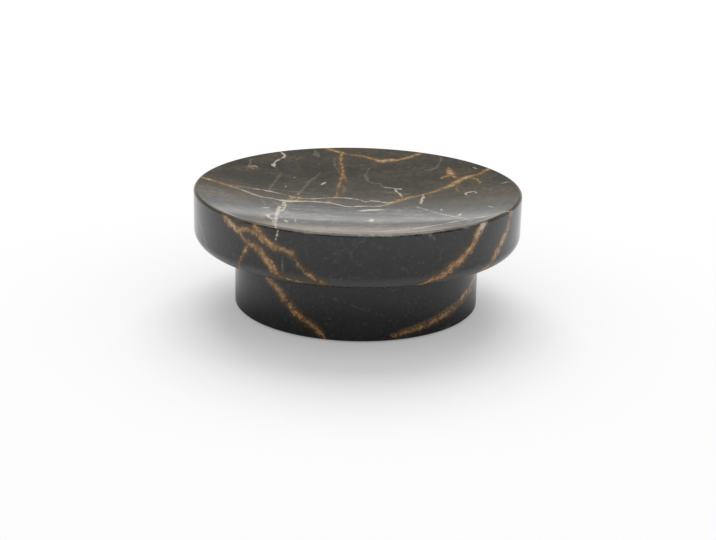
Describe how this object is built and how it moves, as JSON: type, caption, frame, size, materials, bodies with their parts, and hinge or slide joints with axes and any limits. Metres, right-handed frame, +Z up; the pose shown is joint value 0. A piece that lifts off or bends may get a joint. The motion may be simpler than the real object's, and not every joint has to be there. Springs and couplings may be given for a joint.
{
  "type": "soap dish",
  "caption": "Round polished stone soap dish: a shallow spherical bowl with a plain vertical wall, bonded onto a narrower drum pedestal that stands on soft bumpers.",
  "frame": {"origin": "on the table, under the middle of the dish, at the bumpers' undersides", "axes": "+Z up along the turning axis, -Y towards the front that the picture shows, +X to the right of it"},
  "size_m": [0.12, 0.12, 0.044],
  "materials": {
    "marble": "polished, charcoal with gold and cream veins",
    "resin": "cured, tinted to the stone",
    "bumper": "frosted silicone"
  },
  "bodies": {
    "root": {"dish": "marble", "pedestal": "marble", "resin_bed": "resin", "bumper_front_left": "bumper", "bumper_front_right": "bumper", "bumper_back_right": "bumper", "bumper_back_left": "bumper"}
  },
  "joints": []
}
